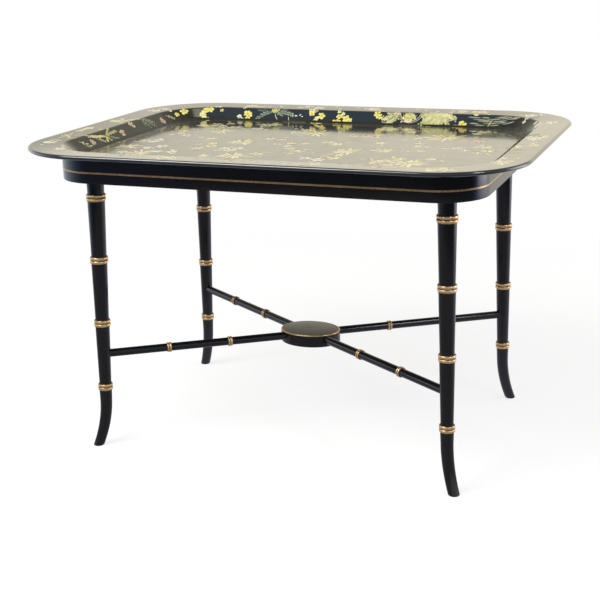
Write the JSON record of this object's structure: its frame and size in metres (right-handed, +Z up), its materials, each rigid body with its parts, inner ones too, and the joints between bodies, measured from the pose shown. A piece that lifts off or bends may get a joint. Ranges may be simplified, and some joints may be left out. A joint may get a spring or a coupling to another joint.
{
  "type": "tray table",
  "caption": "Low table: a lift-off rectangular painted tray with sloping walls and a rolled edge, on a stand with turned faux-bamboo legs, swept feet and crossed stretchers.",
  "frame": {"origin": "on the floor, below the middle of the tray", "axes": "+X along the tray's long side, +Z up, front at -Y"},
  "size_m": [0.787, 0.593, 0.5],
  "materials": {
    "tray_lacquer": "glossy black lacquer with painted flowers",
    "stand_lacquer": "ebonised and polished, with gilt rings and lines",
    "bare_wood": "planed, unfinished",
    "steel": "dull"
  },
  "bodies": {
    "stand": {"rail_front": "stand_lacquer", "rail_back": "stand_lacquer", "rail_left": "stand_lacquer", "rail_right": "stand_lacquer", "corner_block_front_left": "stand_lacquer", "corner_block_front_right": "stand_lacquer", "corner_block_back_left": "stand_lacquer", "corner_block_back_right": "stand_lacquer", "dowel_front_rail_front_left_lower": "bare_wood", "dowel_front_rail_front_left_upper": "bare_wood", "dowel_left_rail_front_left_lower": "bare_wood", "dowel_left_rail_front_left_upper": "bare_wood", "dowel_front_rail_front_right_lower": "bare_wood", "dowel_front_rail_front_right_upper": "bare_wood", "dowel_right_rail_front_right_lower": "bare_wood", "dowel_right_rail_front_right_upper": "bare_wood", "dowel_back_rail_back_left_lower": "bare_wood", "dowel_back_rail_back_left_upper": "bare_wood", "dowel_left_rail_back_left_lower": "bare_wood", "dowel_left_rail_back_left_upper": "bare_wood", "dowel_back_rail_back_right_lower": "bare_wood", "dowel_back_rail_back_right_upper": "bare_wood", "dowel_right_rail_back_right_lower": "bare_wood", "dowel_right_rail_back_right_upper": "bare_wood", "bearer_left": "bare_wood", "bearer_right": "bare_wood", "bearer_screw_front_left": "steel", "bearer_screw_front_right": "steel", "bearer_screw_back_left": "steel", "bearer_screw_back_right": "steel", "leg_front_left": "stand_lacquer", "leg_front_right": "stand_lacquer", "leg_back_left": "stand_lacquer", "leg_back_right": "stand_lacquer", "stretcher_arm_front_left": "stand_lacquer", "stretcher_arm_front_right": "stand_lacquer", "stretcher_arm_back_left": "stand_lacquer", "stretcher_arm_back_right": "stand_lacquer", "stretcher_boss": "stand_lacquer"},
    "tray": {"tray": "tray_lacquer", "edge_wire": "steel"}
  },
  "joints": [
    {"name": "tray_lift", "type": "slide", "parent": "stand", "child": "tray", "axis": [0, 0, 1], "range_m": [0, 0.12]}
  ]
}
